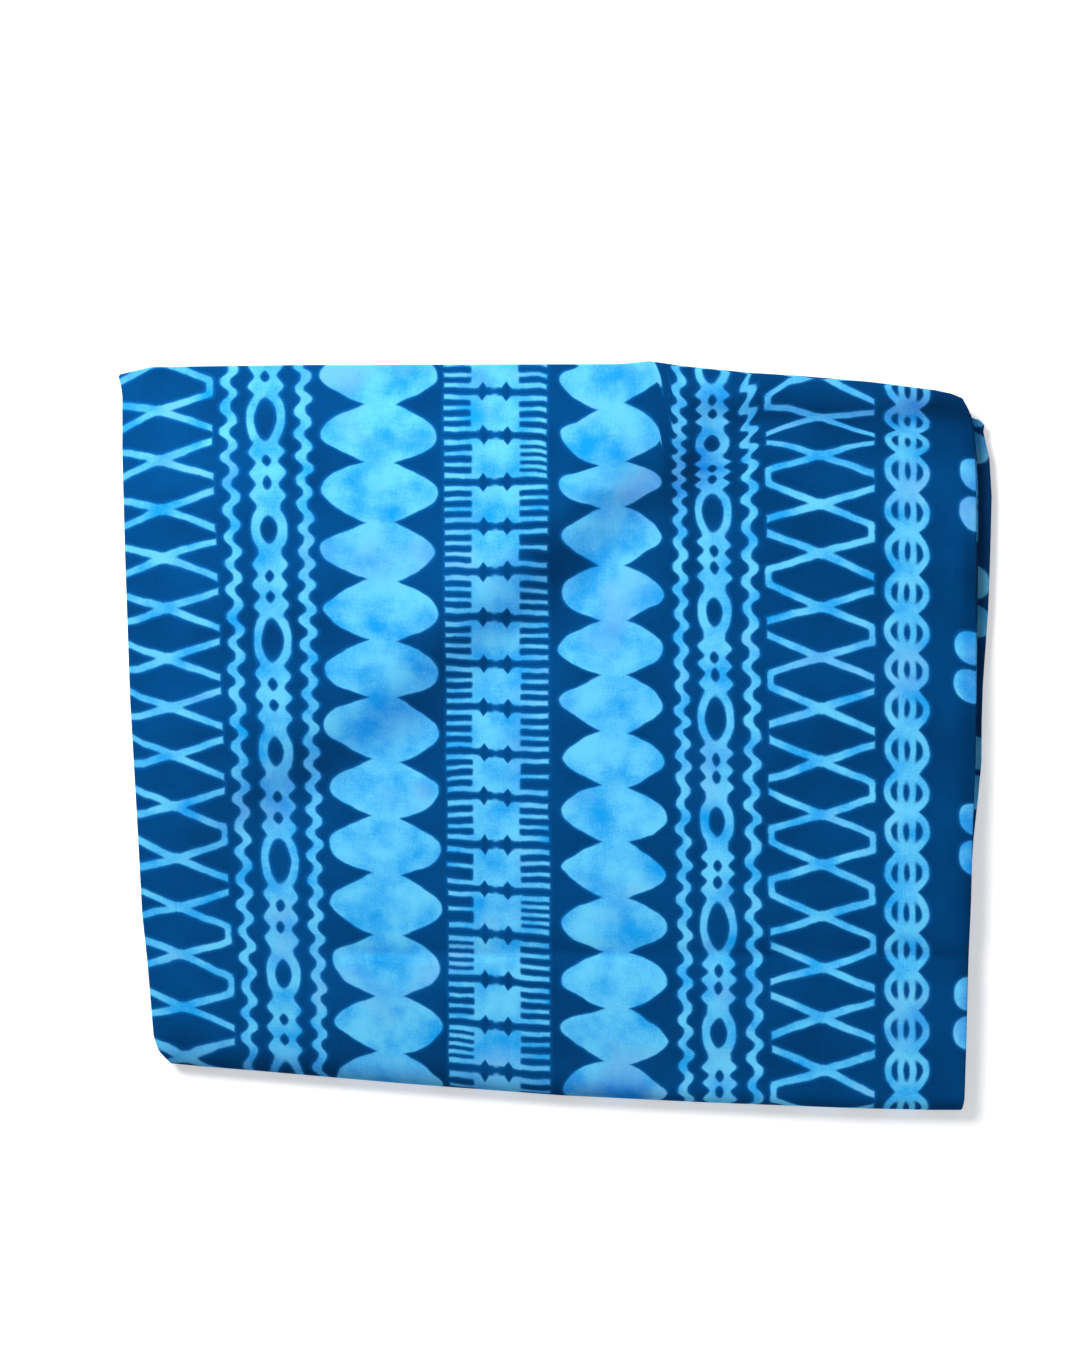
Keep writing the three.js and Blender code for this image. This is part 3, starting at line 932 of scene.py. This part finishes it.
def cloth_material():
    mat = bpy.data.materials.new("printed_cotton")
    mat.use_nodes = True
    tree = mat.node_tree
    Field.tree = tree
    shader = tree.nodes["Principled BSDF"]
    uv = tree.nodes.new("ShaderNodeUVMap")
    uv.uv_map = "flat"
    parts = tree.nodes.new("ShaderNodeSeparateXYZ")
    tree.links.new(uv.outputs[0], parts.inputs[0])
    u, v = Field(parts.outputs[0]) * (1 / MM), Field(parts.outputs[1]) * (1 / MM)
    d = pattern(u, v) + uneven(u, v, EDGE.noise)
    inside = ramp(d, EDGE.soft, -EDGE.soft)
    halo = ramp(d, *EDGE.halo) * (1 - inside)

    mottle, cool = noise(u, v, **NOISES.mottle), noise(u, v, **NOISES.cool)
    slub = noise(u, v, **NOISES.weft) * 0.5 + noise(u, v, **NOISES.warp) * 0.5
    grain = noise(u, v, **NOISES.grain)

    def mix(fac, a, b):
        node = tree.nodes.new("ShaderNodeMix")
        node.data_type = "RGBA"
        tree.links.new(fac.socket, node.inputs[0])
        for slot, c in ((node.inputs[6], a), (node.inputs[7], b)):
            if isinstance(c, tuple):
                slot.default_value = (*c, 1)
            else:
                tree.links.new(c, slot)
        return node.outputs[2]

    def attribute(name):
        node = tree.nodes.new("ShaderNodeAttribute")
        node.attribute_name = name
        return Field(node.outputs["Fac"])

    def scaled(colour, share, blue_share):
        """The colour with its red and green at one share and its blue at another."""
        shares = tree.nodes.new("ShaderNodeCombineXYZ")
        for slot, part in zip(shares.inputs, (share, share, blue_share)):
            tree.links.new(part.socket, slot)
        node = tree.nodes.new("ShaderNodeVectorMath")
        node.operation = "MULTIPLY"
        tree.links.new(colour, node.inputs[0])
        tree.links.new(shares.outputs[0], node.inputs[1])
        return node.outputs[0]

    light = ramp(cool + slub * GROUND.slub + grain * GROUND.grain, *GROUND.spread)
    ground = mix(light, GROUND.deep, GROUND.light)
    ground = mix(halo * EDGE.halo_share, ground, GROUND.halo)
    light = ramp(mottle + slub * FIGURE.slub + grain * FIGURE.grain, *FIGURE.spread)
    figure = mix(light, FIGURE.deep, FIGURE.light)
    figure = mix(ramp(cool, *FIGURE.cool_spread) * FIGURE.cool_share, figure, FIGURE.cool)
    # painted shade and light darken or lighten the ground and the figures; the figures' blue darkens
    # less in painted shade
    depth, pale = attribute("painted_shading"), attribute("figure_tone_and_painted_light")
    ground = scaled(ground, 1 - depth, 1 - depth)
    # the figures also carry painted light, paler to the right and the front
    figure = scaled(figure, pale * (1 - depth), pale * (1 - depth * FIGURE.blue_darkened))
    colour = mix(inside, ground, figure)
    # painted shade on the side folds that stick out
    fold_shade_share = ramp(abs(u), PAINTED_SHADE_FROM_U, PAINTED_SHADE_FROM_U + PAINTED_FOLD_SHADE.soft) * PAINTED_FOLD_SHADE.share
    colour = mix(fold_shade_share, colour, mix(inside, PAINTED_FOLD_SHADE.ground, PAINTED_FOLD_SHADE.figure))
    tree.links.new(colour, shader.inputs["Base Color"])
    shader.inputs["Roughness"].default_value = COTTON.rough
    shader.inputs["Specular IOR Level"].default_value = COTTON.shine

    bump = tree.nodes.new("ShaderNodeBump")
    bump.inputs["Strength"].default_value = COTTON.bump
    bump.inputs["Distance"].default_value = COTTON.yarn_high
    tree.links.new(slub.socket, bump.inputs["Height"])
    tree.links.new(bump.outputs[0], shader.inputs["Normal"])
    return mat


sheet.data.materials.append(cloth_material())
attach(sheet, "root")
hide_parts("cloth")


# The table, the light and the camera, in metres
TABLE = Sizes(wide=30, colour=(0.9, 0.9, 0.9, 1), rough=0.9, glow=0.3)
LIGHTS = (("soft_key", (-1.0, 1.15, 1.2), 0.9, 60),  # name, place, size, power
          ("soft_fill", (1.2, -1.0, 2.6), 2.6, 18))
SKY_COLOUR, SKY_POWER = (0.95, 0.97, 1.0, 1), 0.27
CAMERA_AT = (-0.0108, 0.0430, 2.4)  # straight above
FRAME_HIGH = 0.9275  # the height of the frame at the level of the top leaf
TOP_LEAF_AT = 0.0185
SENSOR_HIGH = 36


def table_top():
    bpy.ops.mesh.primitive_plane_add(size=TABLE.wide, location=(0, 0, 0))
    ob = bpy.context.object
    ob.name = "table_top"
    mat = bpy.data.materials.new("pale_table")
    mat.use_nodes = True
    shader = mat.node_tree.nodes["Principled BSDF"]
    shader.inputs["Base Color"].default_value = TABLE.colour
    shader.inputs["Roughness"].default_value = TABLE.rough
    shader.inputs["Emission Color"].default_value = (1, 1, 1, 1)
    shader.inputs["Emission Strength"].default_value = TABLE.glow
    ob.data.materials.append(mat)
    return ob


def area_light(name, at, size, power):
    """A soft square light, aimed at the middle of the cloth."""
    data = bpy.data.lights.new(name, "AREA")
    data.shape, data.size, data.energy = "SQUARE", size, power
    ob = bpy.data.objects.new(name, data)
    ob.location = at
    ob.rotation_euler = (-Vector(at)).to_track_quat("-Z", "Y").to_euler()
    bpy.context.scene.collection.objects.link(ob)


table_top()
for light in LIGHTS:
    area_light(*light)

world = bpy.data.worlds.new("studio")
bpy.context.scene.world = world
world.use_nodes = True
background = world.node_tree.nodes["Background"]
background.inputs["Color"].default_value = SKY_COLOUR
background.inputs["Strength"].default_value = SKY_POWER

camera = bpy.data.cameras.new("camera")
camera.sensor_fit = "VERTICAL"
camera.sensor_height = SENSOR_HIGH
camera.lens = SENSOR_HIGH * (CAMERA_AT[2] - TOP_LEAF_AT) / FRAME_HIGH
view = bpy.data.objects.new("camera", camera)
view.location = CAMERA_AT
bpy.context.scene.collection.objects.link(view)
bpy.context.scene.camera = view
bpy.context.scene.view_settings.view_transform = "Standard"

cloth_long * MM
